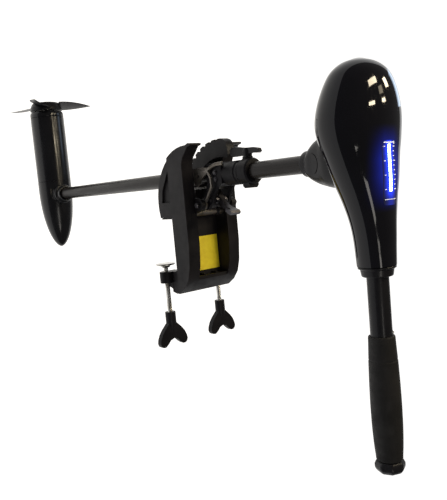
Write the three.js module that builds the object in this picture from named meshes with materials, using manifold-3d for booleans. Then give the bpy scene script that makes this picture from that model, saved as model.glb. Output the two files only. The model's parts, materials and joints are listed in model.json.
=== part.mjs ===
// Transom-mount electric trolling motor, in millimetres, +Z up.
// Origin: middle of the bracket's seat on top of the transom.
// +Y is aft (outboard, towards the propeller), -Y is forward (the tiller), +X is to starboard.

import * as THREE from 'three';
import { mergeVertices } from 'three/addons/utils/BufferGeometryUtils.js';
import Module from 'manifold-3d';

const wasm = await Module();
wasm.setup();

// ---------------------------------------------------------------- driving dimensions

const GAP = 0.3;                    // between pieces that touch
const RUNNING = 0.35;               // radial room between pieces that turn or slide

const SHAFT_Y = 112;                // the shaft stands this far aft of the seat's middle
const SHAFT_R = 14.3;               // 1-1/8 inch composite tube
const SHAFT_BORE = 10.5;
const MOTOR_Z = -603;               // axis of the lower unit
const NECK_Z = 286;                 // underside of the neck's collar

const RAIL_IN = 35;                 // side rails: inner face, outer face of the jaw, outer wall
const RAIL_OUT = 56;
const RAIL_WALL = 60;
const RAIL_TOP = 44;
const FLOOR_TOP = 10;
const JAW_Y = 42;                   // face that bears on the outside of the transom
const FRONT_Y = -100;

const HINGE_Y = 61;                 // tilt axis
const HINGE_Z = 57;
const HINGE_PIN_R = 4.85;
const CROSS_BAR_R = 6.2;
const JAW_ARC_R = 100.4;            // at the foot of the jaw; it grows towards the top
const JAW_ARC_GROWTH = 6.6;
const LINK_OUT = -29;               // the side link's two faces, on the port side
const LINK_IN = -25.5;
const SECTOR_IN = 84;
const SECTOR_OUT = 117;
const REST_NOTCH = -74.5;           // degrees below the horizontal
const NOTCH_STEP = 9;
const NOTCHES = 9;
const LOCK_R = 115.2;                // the lock bar's distance from the tilt axis
const LOCK_BAR_R = 2.5;
const LOCK_DROP = 5.5;               // stored this far below its notch, clear of the teeth

const SLEEVE_R = 21;
const BLOCK_LOW = 64;
const BLOCK_TOP = 105;
const SLEEVE_TOP = 142;
const COLLAR_LOW = 144;
const COLLAR_TOP = 168;
const KNOB_Z = 153.5;               // axis of the depth collar's wing knob
const LEVER_Y = 68;                 // pivot of the tilt release lever
const LEVER_Z = 70;

const CLAMP_X = 61;
const CLAMP_Z = -34;
const CLAMP_THREAD_R = 4.8;
const PAD_FACE_Y = -43;
const PAD_R = 18;
const ARM_FRONT = -80;
const ARM_BACK = -59;

const PIVOT_Y = 110;                // tilt axis of the control head
const PIVOT_Z = 324;
const KNUCKLE_R = 19.5;
const KNUCKLE_HALF = 20;
const HANDLE_Z = 402.8;             // axis of the tiller
const HEAD_FRONT = -40;
const HEAD_WALL = 3;

const TILLER_R = 15.8;
const GRIP_START = -141;
const GRIP_END = -343;
const ROD_R = 4;

const HOUSING_R = 41.8;
const HOUSING_WALL = 5;
const PROP_R = 122;
const MOTOR_SHAFT_R = 4.5;
const UNIT_SIDES = 28;              // facets round the lower unit

// ---------------------------------------------------------------- looks

const look = (color, roughness, metalness = 0) => ({ color, roughness, metalness });
const BLACK_PLASTIC = look(0x1d1d20, 0.62);
const GLOSS_PLASTIC = look(0x17171c, 0.15);
const BLACK_PAINT = look(0x1a1a1d, 0.32);
const SHAFT_COMPOSITE = look(0x35312f, 0.5);
const RUBBER = look(0x2a2a2c, 0.85);
const STEEL = look(0xb4b6b8, 0.3, 1);
const CAST_ALLOY = look(0x8b8a86, 0.5, 0.8);
const COPPER = look(0xb06a3a, 0.35, 1);
const MAGNET = look(0x4a4a4d, 0.6);
const BRASS = look(0xb79b55, 0.35, 1);
const BOARD = look(0x1e5a35, 0.5);
const LENS = look(0x1a1c28, 0.08);
const LED = look(0xcfe0ff, 0.3);
const LABEL = look(0xe2c21c, 0.55);

// ---------------------------------------------------------------- solids

const rad = THREE.MathUtils.degToRad;
const v2 = (x, y) => new THREE.Vector2(x, y);
const v3 = (x, y, z) => new THREE.Vector3(x, y, z);

// A closed three.js geometry as a solid, with its faces pointing out.
function solidOf(geometry) {
  const bare = geometry.index ? geometry.clone() : geometry;
  for (const name of Object.keys(bare.attributes)) {
    if (name !== 'position') bare.deleteAttribute(name);
  }
  const merged = mergeVertices(bare, 1e-4);
  const at = merged.attributes.position;
  const corner = [v3(), v3(), v3()];
  const faces = [];
  let volume = 0;
  for (let i = 0; i < merged.index.count; i += 3) {
    const face = [0, 1, 2].map((k) => merged.index.getX(i + k));
    if (new Set(face).size < 3) continue;
    face.forEach((vertex, k) => corner[k].fromBufferAttribute(at, vertex));
    volume += corner[0].dot(corner[1].clone().cross(corner[2]));
    faces.push(face);
  }
  const outward = volume > 0 ? faces : faces.map(([a, b, c]) => [a, c, b]);
  const vertProperties = new Float32Array(at.array);
  const triVerts = new Uint32Array(outward.flat());
  return new wasm.Manifold(new wasm.Mesh({ numProp: 3, vertProperties, triVerts }));
}

const join = (...solids) => solids.reduce((whole, solid) => whole.add(solid));
const cut = (body, ...tools) => tools.reduce((left, tool) => left.subtract(tool), body);

// Turns a shape built along Y so that it lies along the named axis.
function turn(geometry, axis) {
  if (axis === 'x') geometry.rotateZ(-Math.PI / 2);
  if (axis === 'z') geometry.rotateX(Math.PI / 2);
  return geometry;
}

// A body of revolution. The profile's points are [radius, distance along the axis].
function lathe(profile, axis, centre = [0, 0, 0], segments = 24) {
  const points = profile.map(([r, along]) => v2(r, along));
  const geometry = turn(new THREE.LatheGeometry(points, segments), axis);
  return solidOf(geometry.translate(...centre));
}

const rod = (axis, radius, low, high, centre = [0, 0, 0], segments = 16) =>
  lathe([[0, low], [radius, low], [radius, high], [0, high]], axis, centre, segments);

const ring = (axis, inner, outer, low, high, centre = [0, 0, 0], segments = 24) => {
  const square = [[inner, low], [outer, low], [outer, high], [inner, high], [inner, low]];
  return lathe(square, axis, centre, segments);
};

function block(low, high) {
  const size = low.map((value, k) => high[k] - value);
  const middle = low.map((value, k) => (high[k] + value) / 2);
  return solidOf(new THREE.BoxGeometry(...size).translate(...middle));
}

// A flat outline pushed along an axis: [y, z] along x, [x, z] along y, [x, y] along z.
function plate(outline, axis, low, high) {
  const shape = outline instanceof THREE.Shape
    ? outline
    : new THREE.Shape(outline.map(([a, b]) => v2(a, b)));
  const options = { depth: high - low, bevelEnabled: false, curveSegments: 5 };
  const geometry = new THREE.ExtrudeGeometry(shape, options);
  const place = new THREE.Matrix4();
  if (axis === 'x') place.makeBasis(v3(0, 1, 0), v3(0, 0, 1), v3(1, 0, 0)).setPosition(low, 0, 0);
  if (axis === 'y') place.makeBasis(v3(1, 0, 0), v3(0, 0, 1), v3(0, -1, 0)).setPosition(0, high, 0);
  if (axis === 'z') place.setPosition(0, 0, low);
  return solidOf(geometry.applyMatrix4(place));
}

function tube(points, radius, steps, sides = 8) {
  const circle = new THREE.Shape();
  for (let i = 0; i < sides; i += 1) {
    const angle = (i / sides) * 2 * Math.PI;
    const point = [radius * Math.cos(angle), radius * Math.sin(angle)];
    if (i === 0) circle.moveTo(...point);
    else circle.lineTo(...point);
  }
  const extrudePath = new THREE.CatmullRomCurve3(points.map((p) => v3(...p)));
  const geometry = new THREE.ExtrudeGeometry(circle, { extrudePath, steps, curveSegments: 1 });
  return solidOf(geometry);
}

// A skin over rings of points that all have the same count, closed by a fan at each end.
function loft(rings) {
  const count = rings[0].length;
  const points = rings.flat();
  const faces = [];
  for (let r = 0; r + 1 < rings.length; r += 1) {
    for (let i = 0; i < count; i += 1) {
      const j = (i + 1) % count;
      const [a, b] = [r * count + i, r * count + j];
      faces.push(a, b, b + count, a, b + count, a + count);
    }
  }
  for (const [first, flip] of [[0, true], [(rings.length - 1) * count, false]]) {
    const middle = points.length;
    const sum = v3(0, 0, 0);
    for (let i = 0; i < count; i += 1) sum.add(points[first + i]);
    points.push(sum.divideScalar(count));
    for (let i = 0; i < count; i += 1) {
      const pair = [first + i, first + ((i + 1) % count)];
      faces.push(middle, ...(flip ? pair.reverse() : pair));
    }
  }
  const geometry = new THREE.BufferGeometry().setFromPoints(points);
  geometry.setIndex(faces);
  return solidOf(geometry);
}

// A rounded rectangle or an ellipse: power 2 is an ellipse, higher is squarer.
function roundRing(halfA, halfB, place, power = 2, count = 32) {
  const points = [];
  for (let i = 0; i < count; i += 1) {
    const angle = (i / count) * 2 * Math.PI;
    const [c, s] = [Math.cos(angle), Math.sin(angle)];
    const a = halfA * Math.sign(c) * Math.abs(c) ** (2 / power);
    const b = halfB * Math.sign(s) * Math.abs(s) ** (2 / power);
    points.push(place(a, b));
  }
  return points;
}

function piece(name, solid, { color, roughness, metalness }) {
  const { vertProperties, triVerts } = solid.getMesh();
  const geometry = new THREE.BufferGeometry();
  geometry.setAttribute('position', new THREE.BufferAttribute(vertProperties, 3));
  geometry.setIndex(new THREE.BufferAttribute(triVerts, 1));
  geometry.computeVertexNormals();
  const material = new THREE.MeshStandardMaterial({ color, roughness, metalness });
  const mesh = new THREE.Mesh(geometry, material);
  mesh.name = name;
  return mesh;
}

const mirrored = (solid) => solid.mirror([1, 0, 0]);
const polar = (radius, degrees) => [
  HINGE_Y + radius * Math.cos(rad(degrees)),
  HINGE_Z + radius * Math.sin(rad(degrees)),
];

const [NOTCH_Y, NOTCH_Z] = polar(LOCK_R, REST_NOTCH);
const [LOCK_Y, LOCK_Z] = [NOTCH_Y, NOTCH_Z - LOCK_DROP];

// Points of an arc about the tilt axis, as [y, z].
function arc(radius, from, to, steps) {
  const points = [];
  for (let i = 0; i <= steps; i += 1) points.push(polar(radius, from + ((to - from) * i) / steps));
  return points;
}

// ---------------------------------------------------------------- transom bracket

// The jaw's aft edge, whose radius about the tilt axis grows on the way up.
function jawArc() {
  const points = [];
  for (let i = 0; i <= 14; i += 1) {
    const t = i / 14;
    points.push(polar(JAW_ARC_R + JAW_ARC_GROWTH * t * (2 - t), -100 + 102 * t));
  }
  return points;
}

// Side of the bracket seen from port: rail, clamp arm in front, jaw behind.
function sideOutline() {
  return [
    [-12, RAIL_TOP], [-50, 40], [-72, 33], [-88, 20], [FRONT_Y, 2],
    [-101, -12], [-97, -28], [-90, -40], [ARM_FRONT, -48], [ARM_BACK - 3, -48], [ARM_BACK, -44],
    [ARM_BACK, -10], [-55, -3], [-48, 0], [JAW_Y, 0], [JAW_Y, -42],
    ...jawArc(), [170.5, 68], [169.5, 74], [166.5, 74], [164.5, 66], [158, 60], [147, 49],
    [136, RAIL_TOP],
  ];
}

function hingeEar() {
  const top = arc(10.5, 0, 180, 10);
  return plate([...top, [HINGE_Y - 15, 40], [HINGE_Y + 15, 40]], 'x', 31, RAIL_IN + 4);
}

function bracketFrame() {
  const outline = sideOutline();
  const rail = plate(outline, 'x', RAIL_IN, RAIL_OUT);
  const upper = block([RAIL_OUT - 1, FRONT_Y - 2, 0], [RAIL_WALL, 200, 90]);
  const wall = plate(outline, 'x', RAIL_OUT - 1, RAIL_WALL).intersect(upper);
  const boss = rod('y', 13, ARM_FRONT, ARM_BACK, [CLAMP_X, 0, CLAMP_Z]);
  const pocket = plate([[92, -28], [128, -6], [140, -1], [70, -1], [70, -32]], 'x', RAIL_OUT - 4, 70);
  const side = cut(join(rail, wall, boss, hingeEar()), pocket);
  const floor = block([-RAIL_IN - 1, FRONT_Y + 8, 0], [RAIL_IN + 1, JAW_Y, FLOOR_TOP]);
  const front = plate(
    [[FRONT_Y, 2], [-88, 20], [-76, 30], [-70, 30], [-70, 0], [-93, -14], [-99, -14]],
    'x', -RAIL_IN - 1, RAIL_IN + 1,
  );
  const ribs = [-14, 14].map((x) => block([x - 1.5, -80, FLOOR_TOP - 1], [x + 1.5, -67, 24]));
  const frame = join(side, mirrored(side), floor, front, ...ribs);
  const pinBore = rod('x', HINGE_PIN_R + RUNNING, -46, 80, [0, HINGE_Y, HINGE_Z]);
  const barBore = rod('x', CROSS_BAR_R + GAP, -40, 40, [0, 47, 30]);
  const screwBores = [-CLAMP_X, CLAMP_X].map((x) =>
    rod('y', CLAMP_THREAD_R + RUNNING, ARM_FRONT - 10, ARM_BACK + 10, [x, 0, CLAMP_Z]));
  const knobScoops = [-CLAMP_X, CLAMP_X].map((x) =>
    rod('y', 11, FRONT_Y - 10, ARM_FRONT, [x, 0, CLAMP_Z], 24));
  return cut(frame, pinBore, barBore, ...screwBores, ...knobScoops);
}

// Toothed quadrant: the lock bar drops into one notch of its rim at each tilt stop.
function sector() {
  const outline = [...arc(SECTOR_OUT, REST_NOTCH - 9, 4, 24), polar(115, 8), polar(111, 11),
    polar(104, 13.5), polar(90, 16.5), ...arc(SECTOR_IN, 16, REST_NOTCH - 9, 14)];
  const notches = [];
  for (let i = 0; i < NOTCHES; i += 1) {
    const angle = REST_NOTCH + i * NOTCH_STEP;
    const [y, z] = polar(LOCK_R, angle);
    const bottom = rod('x', LOCK_BAR_R + 0.8, 0, 40, [0, y, z], 12);
    const way = block([0, 0, -LOCK_BAR_R - 1.6], [40, 12, LOCK_BAR_R + 1.6])
      .rotate([angle, 0, 0]).translate([0, y, z]);
    notches.push(bottom, way);
  }
  return cut(plate(outline, 'x', 17.5, RAIL_IN - GAP), ...notches);
}

function bracketPieces() {
  const pad = block([RAIL_IN + 1, JAW_Y - 3, -39], [RAIL_OUT - 1, JAW_Y - GAP, -4]);
  const hingePin = join(
    rod('x', HINGE_PIN_R, -45, 44, [0, HINGE_Y, HINGE_Z]),
    rod('x', 8, 40.4, 45, [0, HINGE_Y, HINGE_Z], 6),
  );
  const barNut = rod('x', 8.8, 18.2, 23.7, [0, 47, 30], 6);
  const bar = rod('x', CROSS_BAR_R, -39, 39, [0, 47, 30]);
  const label = block([-31, -62, FLOOR_TOP + GAP], [33, 2, FLOOR_TOP + 0.9]);
  return [
    piece('bracket_frame', bracketFrame(), BLACK_PLASTIC),
    piece('tilt_sector', sector(), BLACK_PLASTIC),
    piece('hinge_pin', hingePin, STEEL),
    piece('cross_bar', bar, CAST_ALLOY),
    piece('cross_bar_nut', cut(barNut, rod('x', CROSS_BAR_R + GAP, 0, 60, [0, 47, 30])), STEEL),
    piece('jaw_pad_right', pad, RUBBER),
    piece('jaw_pad_left', mirrored(pad), RUBBER),
    piece('caution_label', label, LABEL),
  ];
}

// ---------------------------------------------------------------- transom clamps

// Two rounded lobes, like a butterfly's wings, on a round hub at the screw's end.
function wingKnob() {
  const lobe = [[8, -150], [8, -157], [13, -162], [20, -169], [26, -177], [30, -186], [31.2, -193],
    [29.5, -198], [25.5, -201], [20, -201], [13.5, -196], [8, -190]];
  const otherLobe = lobe.map(([x, y]) => [-x, y]).reverse();
  const wings = plate([...lobe, [0, -187], ...otherLobe], 'z', -5.5, 5.5);
  const hub = lathe([[0, -176], [6, -176], [8, -168], [10, -158], [10, -136], [0, -136]], 'y');
  return join(wings, hub);
}

function clampPieces(side, x) {
  const place = (solid) => solid.translate([x, 0, CLAMP_Z]);
  const ball = [[0, -50], [3.2, -50], [4.2, -48.4], [3.2, -46.8], [0, -46.8]];
  const screw = join(
    rod('y', CLAMP_THREAD_R, -150, -51.5),
    rod('y', 3.2, -52, -48),
    lathe(ball, 'y', [0, 0, 0], 16),
  );
  const padProfile = [[0, PAD_FACE_Y], [PAD_R, PAD_FACE_Y], [PAD_R, -46], [9, -48], [7.2, -51],
    [4.2, -51], [4.2, -49.9], [4.75, -49.9], [4.75, -46.2], [0, -46.2]];
  const knob = cut(wingKnob(), rod('y', CLAMP_THREAD_R + GAP, -150.3, -130));
  return [
    piece(`clamp_pad_${side}`, place(lathe(padProfile, 'y')), STEEL),
    piece(`clamp_screw_${side}`, place(screw), STEEL),
    piece(`clamp_knob_${side}`, place(knob), BLACK_PLASTIC),
  ];
}

// ---------------------------------------------------------------- swivel and tilt lock

function swivelBody() {
  const shaftAt = [0, SHAFT_Y, 0];
  const hull = plate([[91, BLOCK_LOW], [133, BLOCK_LOW], [133, 98], [128, BLOCK_TOP], [96, BLOCK_TOP],
    [91, 98]], 'x', -SLEEVE_R, SLEEVE_R);
  const sleeve = lathe([[0, BLOCK_TOP - 2], [SLEEVE_R, BLOCK_TOP - 2], [SLEEVE_R, SLEEVE_TOP - 8],
    [SLEEVE_R - 1.5, SLEEVE_TOP - 6], [SLEEVE_R - 1.5, SLEEVE_TOP], [0, SLEEVE_TOP]], 'z', shaftAt);
  const cheekOutline = [[100, BLOCK_LOW], [100, 94], [91, 92], [74, 80], [LEVER_Y - 6, 74],
    ...arc(9.5, 110, 300, 10), [84, BLOCK_LOW - 4]];
  const cheek = plate(cheekOutline, 'x', 15.5, SLEEVE_R);
  const body = join(hull, sleeve, cheek, mirrored(cheek));
  return cut(
    body,
    rod('z', SHAFT_R + 2.3, 0, 160, shaftAt),
    rod('x', HINGE_PIN_R + RUNNING, -40, 40, [0, HINGE_Y, HINGE_Z]),
    rod('x', 3 + GAP, -40, 40, [0, LEVER_Y, LEVER_Z]),
    block([-12.5, 86, BLOCK_LOW - 1], [12.5, 93.8, BLOCK_LOW + 18]),
  );
}

function bushing(low, high, flangeLow, flangeHigh) {
  const sleeve = ring('z', SHAFT_R + RUNNING, SHAFT_R + 2, low, high, [0, SHAFT_Y, 0]);
  const flange = ring('z', SHAFT_R + RUNNING, SHAFT_R + 5, flangeLow, flangeHigh, [0, SHAFT_Y, 0]);
  return join(sleeve, flange);
}

// Cast link on the port side: a thin leg from the hinge pin to a pierced tail, with an arm that
// reaches up beside the swivel block.
function sideLink() {
  const outline = new THREE.Shape([[125, 28.5], [127.5, 50], [126, 74], [121, 79], [115, 72], [106, 58],
    [96, 49], [93.5, 42.5], [99, 37.5], [112, 34], [120, 27.5]].map(([y, z]) => v2(y, z)));
  outline.holes.push(new THREE.Path().absellipse(112.5, 49, 4, 4, 0, 2 * Math.PI, true));
  const tail = plate(outline, 'x', LINK_OUT, LINK_IN);
  const leg = plate([[60, 60], [70, 69.5], [91, 85.5], [107, 85], [119, 79], [120, 73.5], [106, 81.5],
    [92.5, 82], [72, 66], [65, 57]], 'x', LINK_OUT, LINK_IN);
  const eye = rod('x', 8.5, LINK_OUT, LINK_IN, [0, HINGE_Y, HINGE_Z]);
  const arm = tube([[-26.4, 121, 70], [-25.6, 125, 81], [-25.2, 128.5, 92], [-25, 130, 104],
    [-24, 130, 114]], 3.4, 14);
  const foot = rod('x', 4, LINK_IN - 1, -SLEEVE_R - GAP, [0, 121, 72]);
  const pinBore = rod('x', HINGE_PIN_R + RUNNING, -40, -20, [0, HINGE_Y, HINGE_Z]);
  return cut(join(tail, leg, eye, arm, foot), pinBore);
}

function releaseLever() {
  const outline = [[LEVER_Y - 5, LEVER_Z - 4], [LEVER_Y + 3, LEVER_Z - 6], [86, 62.8], [89.5, 63.6],
    [90.3, 66], [88, 68.6], [LEVER_Y + 7, LEVER_Z + 4], [58, 90], [47, 109], [43, 110.5],
    [40.5, 107], [50, 88]];
  const web = plate(outline, 'x', -5, 5);
  const thumb = plate([[51.5, 98], [47.5, 110], [43, 112], [39.5, 108], [46, 95]], 'x', -11, 11);
  const boss = rod('x', 6.5, -12, 12, [0, LEVER_Y, LEVER_Z]);
  return cut(join(web, thumb, boss), rod('x', 3 + RUNNING, -20, 20, [0, LEVER_Y, LEVER_Z]));
}

function leverSpring() {
  const points = [];
  const turns = 2;
  for (let i = 0; i <= turns * 8; i += 1) {
    const angle = (i / 8) * 2 * Math.PI;
    points.push([12.85 + (i / (turns * 8)) * 2.1, LEVER_Y + 4.6 * Math.cos(angle),
      LEVER_Z + 4.6 * Math.sin(angle)]);
  }
  return tube(points, 0.4, 16, 6);
}

// Hangs the lock bar from the release lever's lobe, which works in the window at its top.
function lockStrap() {
  const [front, back] = [LOCK_Y - 1.6, LOCK_Y + 1.6];
  const outline = [[front, LOCK_Z - 3], [back, LOCK_Z - 3], [back, 73], [front - 3.4, 73],
    [front - 3.4, 70], [front, 70]];
  const eye = rod('x', LOCK_BAR_R + 2.2, -14, 14, [0, LOCK_Y, LOCK_Z]);
  return cut(
    join(plate(outline, 'x', -12, 12), eye),
    rod('x', LOCK_BAR_R + GAP, -20, 20, [0, LOCK_Y, LOCK_Z]),
    block([-5.5, 80, 48], [5.5, 96, 69.7]),
    block([-5, 80, -36], [5, 96, 30]),
  );
}

function swivelPieces() {
  const boltAt = (y, z) => join(
    rod('x', 3.6, -SLEEVE_R - 3.2, -SLEEVE_R - GAP, [0, y, z], 6),
    rod('x', 4.6, -SLEEVE_R - 1.4, -SLEEVE_R - GAP, [0, y, z]),
  );
  const pin = rod('x', 3, -SLEEVE_R - 2, SLEEVE_R + 2, [0, LEVER_Y, LEVER_Z]);
  return [
    piece('swivel_body', swivelBody(), BLACK_PLASTIC),
    piece('upper_bushing', bushing(BLOCK_TOP, SLEEVE_TOP + 0.6, SLEEVE_TOP + 0.3, SLEEVE_TOP + 1.5), RUBBER),
    piece('lower_bushing', bushing(BLOCK_LOW - 0.6, 96, BLOCK_LOW - 1.8, BLOCK_LOW - 0.3), RUBBER),
    piece('swivel_bolt_aft', boltAt(116, 89), STEEL),
    piece('swivel_bolt_front', boltAt(104, 89), STEEL),
    piece('side_link', sideLink(), CAST_ALLOY),
    piece('lever_pin', pin, STEEL),
    piece('lever_spring', leverSpring(), STEEL),
    piece('release_lever', releaseLever(), CAST_ALLOY),
    piece('lock_bar', rod('x', LOCK_BAR_R, -16, 34, [0, LOCK_Y, LOCK_Z]), STEEL),
    piece('lock_strap', lockStrap(), STEEL),
  ];
}

// ---------------------------------------------------------------- depth collar

function depthCollar() {
  const at = [0, SHAFT_Y, 0];
  const low = COLLAR_LOW;
  const top = COLLAR_TOP;
  const hoop = lathe([[0, low], [20.5, low], [22.5, low + 3], [22.5, top - 3], [20.5, top], [0, top]],
    'z', at);
  const bulge = plate([[-11, 96], [-11, 88], [-7, 84], [7, 84], [11, 88], [11, 96]], 'z', low + 4, top - 4);
  const nutBoss = rod('y', 9, SHAFT_Y + 18, SHAFT_Y + 25, [0, 0, KNOB_Z], 24);
  return cut(
    join(hoop, bulge, nutBoss),
    rod('z', SHAFT_R + 0.35, low - 5, top + 5, at),
    rod('y', 3 + GAP, SHAFT_Y, SHAFT_Y + 40, [0, 0, KNOB_Z]),
  );
}

function collarKnob() {
  const y = SHAFT_Y;
  const hub = lathe([[0, y + 25.4], [8, y + 25.4], [8.5, y + 34], [6.5, y + 39], [0, y + 39]], 'y',
    [0, 0, KNOB_Z], 24);
  const lower = plate([[y + 27, 158], [y + 27, 120], [y + 31, 115], [y + 38, 114], [y + 43, 118],
    [y + 44, 126], [y + 40, 150]], 'x', -4.5, 4.5);
  const upper = plate([[y + 27, 148], [y + 40, 150], [y + 39, 172], [y + 36, 184], [y + 31, 186],
    [y + 28.5, 182], [y + 30, 166]], 'x', -4, 4);
  const stud = rod('y', 3, y + SHAFT_R + 1.2, y + 30, [0, 0, KNOB_Z]);
  return join(hub, lower, upper, stud);
}

// ---------------------------------------------------------------- shaft and neck

function neckYoke() {
  const at = [0, SHAFT_Y, 0];
  const collar = lathe([[0, NECK_Z], [18, NECK_Z], [20, NECK_Z + 2], [20, NECK_Z + 12],
    [18.5, NECK_Z + 14], [17, NECK_Z + 22], [0, NECK_Z + 22]], 'z', at);
  const knuckle = rod('x', KNUCKLE_R, -KNUCKLE_HALF, KNUCKLE_HALF, [0, PIVOT_Y, PIVOT_Z], 24);
  const stem = block([-14, SHAFT_Y - 16, NECK_Z + 10], [14, SHAFT_Y + 14, PIVOT_Z]);
  return cut(
    join(collar, stem, knuckle),
    rod('z', SHAFT_R + GAP, NECK_Z - 5, NECK_Z + 14, at),
    rod('x', 4 + RUNNING, -40, 40, [0, PIVOT_Y, PIVOT_Z]),
  );
}

function shaftPieces() {
  const at = [0, SHAFT_Y, 0];
  const foot = MOTOR_Z + 16;
  return [
    piece('main_shaft', ring('z', SHAFT_BORE, SHAFT_R, foot, NECK_Z + 13.5, at, 24), SHAFT_COMPOSITE),
    piece('control_cable', rod('z', 5, foot + 2, NECK_Z + 12, at, 12), RUBBER),
    piece('neck_yoke', neckYoke(), BLACK_PLASTIC),
  ];
}

// ---------------------------------------------------------------- lower unit, about its own axis

const NOSE_STEPS = 9;

// Radius of the bullet nose at a distance y aft of the shaft.
function noseRadius(y, shrink = 0) {
  const length = 147 - shrink;
  const t = Math.min(1, Math.max(0, (10 - y) / length));
  return (HOUSING_R - shrink) * (1 - t * t) ** 0.55;
}

function noseProfile(shrink, last) {
  const points = [];
  const tip = -137 + shrink;
  for (let i = 0; i <= NOSE_STEPS; i += 1) {
    const y = 10 - (10 - tip) * Math.sin(((1 - i / NOSE_STEPS) * Math.PI) / 2);
    points.push([i === 0 ? 0 : noseRadius(y, shrink), y]);
  }
  points.push([points.at(-1)[0], last]);
  return points;
}

function noseHousing() {
  const shell = lathe([...noseProfile(0, 34), [0, 34]], 'y', [0, 0, 0], UNIT_SIDES);
  const flange = lathe([[0, 20], [24, 20], [24, 46], [22.5, 48], [19.5, 48.5], [19.5, 60], [18, 62],
    [0, 62]], 'z');
  const noseCavity = lathe([...noseProfile(HOUSING_WALL, -30).slice(0, 7), [0, -34]], 'y',
    [0, 0, 0], 16);
  const passage = rod('y', 9, -60, 40, [0, 0, 0], 16);
  const bearingSeat = rod('y', 13 + GAP, 19, 40);
  const rearCavity = rod('y', 36.5, 30, 40);
  const bore = rod('z', SHAFT_R + GAP, 16 - GAP, 80);
  const cableWay = rod('z', 6, 0, 30, [0, 0, 0], 16);
  return cut(join(shell, flange), noseCavity, passage, bearingSeat, rearCavity, bore, cableWay);
}

function rearBell() {
  const outer = [[0, 192], [36, 192], [36, 198.4], [HOUSING_R - 0.9, 198.4], [HOUSING_R, 199.5],
    [HOUSING_R, 207], [40, 212], [38, 213], [0, 213]];
  return cut(
    lathe(outer, 'y', [0, 0, 0], UNIT_SIDES),
    rod('y', 13 + GAP, 180, 202),
    rod('y', MOTOR_SHAFT_R + 1, 190, 220),
    rod('y', 10 + GAP, 205, 220),
  );
}

function lowerUnitPieces() {
  const motorTube = ring('y', HOUSING_R - HOUSING_WALL, HOUSING_R, 34.3, 198.1, [0, 0, 0], UNIT_SIDES);
  const magnets = cut(
    ring('y', 30.6, 36, 55, 165, [0, 0, 0], UNIT_SIDES),
    block([-4, 0, -40], [4, 200, -32]),
  );
  const bearing = (low) => ring('y', MOTOR_SHAFT_R + GAP, 13, low, low + 9);
  const brushRing = ring('y', 18, 35.5, 180, 184, [0, 0, 0], 24);
  const brush = block([14.6, 174, -4], [26, 181, 4]);
  return [
    piece('nose_housing', noseHousing(), BLACK_PAINT),
    piece('motor_tube', motorTube, BLACK_PAINT),
    piece('rear_bell', rearBell(), BLACK_PAINT),
    piece('magnet_ring', magnets, MAGNET),
    piece('brush_holder', join(brushRing, brush, mirrored(brush)), BRASS),
    piece('front_bearing', bearing(19.5), STEEL),
    piece('rear_bearing', bearing(192.5), STEEL),
    piece('shaft_seal', ring('y', MOTOR_SHAFT_R + GAP, 10, 205.5, 212.5), RUBBER),
  ];
}

// ---------------------------------------------------------------- propeller and rotor

// One swept, pointed weedless blade along +X.
function blade() {
  const rings = [];
  const root = 30;
  const steps = 7;
  for (let i = 0; i <= steps; i += 1) {
    const t = i / steps;
    const radius = root + (PROP_R - root) * t;
    const chord = 46 * (1 - t ** 1.6) + 5;
    const thickness = 4.6 - 3.2 * t;
    const pitch = rad(17 + 14 * t * (1 - t));
    const sweep = -16 * t * t;
    rings.push(roundRing(chord / 2, thickness / 2, (a, b) => v3(
      radius,
      229 + a * Math.sin(pitch) + b * Math.cos(pitch),
      sweep + a * Math.cos(pitch) - b * Math.sin(pitch),
    ), 2, 8));
  }
  return loft(rings);
}

function propeller() {
  const hub = lathe([[0, 215.5], [39.2, 215.5], [40, 217], [38.6, 225], [34.5, 234.5], [32, 236.5],
    [0, 236.5]], 'y', [0, 0, 0], UNIT_SIDES);
  const blades = [14, 134, 254].map((angle) => blade().rotate([0, -angle, 0]));
  const hollow = ring('y', 14, 34, 214, 229);
  return cut(
    join(hub, ...blades),
    hollow,
    rod('y', MOTOR_SHAFT_R + GAP, 200, 260),
    rod('y', 12, 228.2, 240, [0, 0, 0], 24),
    block([-13.4, 222, -2.4], [13.4, 226.8, 2.4]),
  );
}

function rotorPieces() {
  const shaft = rod('y', MOTOR_SHAFT_R, 12, 237);
  const pinHole = rod('x', 2 + GAP, -10, 10, [0, 224.4, 0], 16);
  const threads = rod('y', 5 + GAP, 0, 300);
  const lamination = ring('y', MOTOR_SHAFT_R + GAP, 29.4, 62, 158, [0, 0, 0], 30);
  const slots = [];
  for (let i = 0; i < 10; i += 1) {
    slots.push(block([25, 60, -1.4], [31, 160, 1.4]).rotate([0, i * 36, 0]));
  }
  return [
    piece('motor_shaft', cut(shaft, pinHole), STEEL),
    piece('armature', cut(lamination, ...slots), MAGNET),
    piece('commutator', ring('y', MOTOR_SHAFT_R + GAP, 14, 168, 179), COPPER),
    piece('propeller', propeller(), BLACK_PLASTIC),
    piece('prop_pin', rod('x', 2, -13, 13, [0, 224.4, 0], 16), STEEL),
    piece('prop_washer', ring('y', 5 + GAP, 10.6, 228.5, 230.1), STEEL),
    piece('prop_nut', cut(lathe([[0, 230.4], [8.4, 230.4], [8.4, 236.2], [0, 236.2]], 'y', [0, 0, 0], 6),
      threads), BLACK_PLASTIC),
  ];
}

// ---------------------------------------------------------------- control head

// Half-width, from the front end (the tiller's ring) to the aft tip.
const HEAD_SPINE = new THREE.CatmullRomCurve3([
  v3(HEAD_FRONT, 27.5, 0), v3(-4, 30.8, 0), v3(24, 35, 0), v3(52, 42, 0), v3(80, 51.2, 0),
  v3(107, 59.4, 0), v3(133, 67, 0), v3(160, 70.7, 0), v3(186, 67.3, 0), v3(213, 57.5, 0),
  v3(229, 47, 0), v3(240, 31.5, 0), v3(246.5, 11, 0),
]);

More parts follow.
